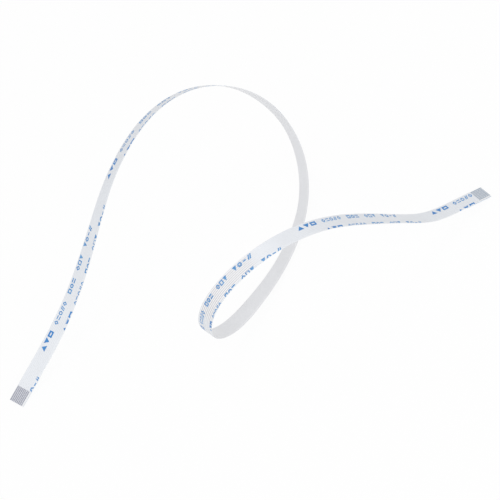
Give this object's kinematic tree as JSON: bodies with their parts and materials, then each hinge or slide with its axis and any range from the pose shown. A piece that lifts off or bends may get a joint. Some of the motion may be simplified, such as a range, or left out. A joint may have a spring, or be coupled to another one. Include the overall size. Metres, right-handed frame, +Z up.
{
  "type": "ribbon cable",
  "caption": "Flat flexible cable: flat conductors between two polyester films, bare contacts and a stiffener tape at each end, lying in one loose loop.",
  "frame": {"origin": "centre of the cable's bounding box, on the floor that the cable rests on", "axes": "+X to the right along the longest extent, +Y away from the viewer, +Z up"},
  "size_m": [0.144, 0.0814, 0.0482],
  "materials": {
    "printed_film": "satin white polyester film",
    "plain_film": "satin white polyester film",
    "contacts": "tin-plated copper",
    "stiffener": "satin white polyester tape"
  },
  "bodies": {
    "root": {"printed_film": "printed_film", "plain_film": "plain_film", "conductor_1": "contacts", "conductor_2": "contacts", "conductor_3": "contacts", "conductor_4": "contacts", "conductor_5": "contacts", "conductor_6": "contacts", "conductor_7": "contacts", "conductor_8": "contacts", "start_stiffener": "stiffener", "end_stiffener": "stiffener"}
  },
  "joints": []
}
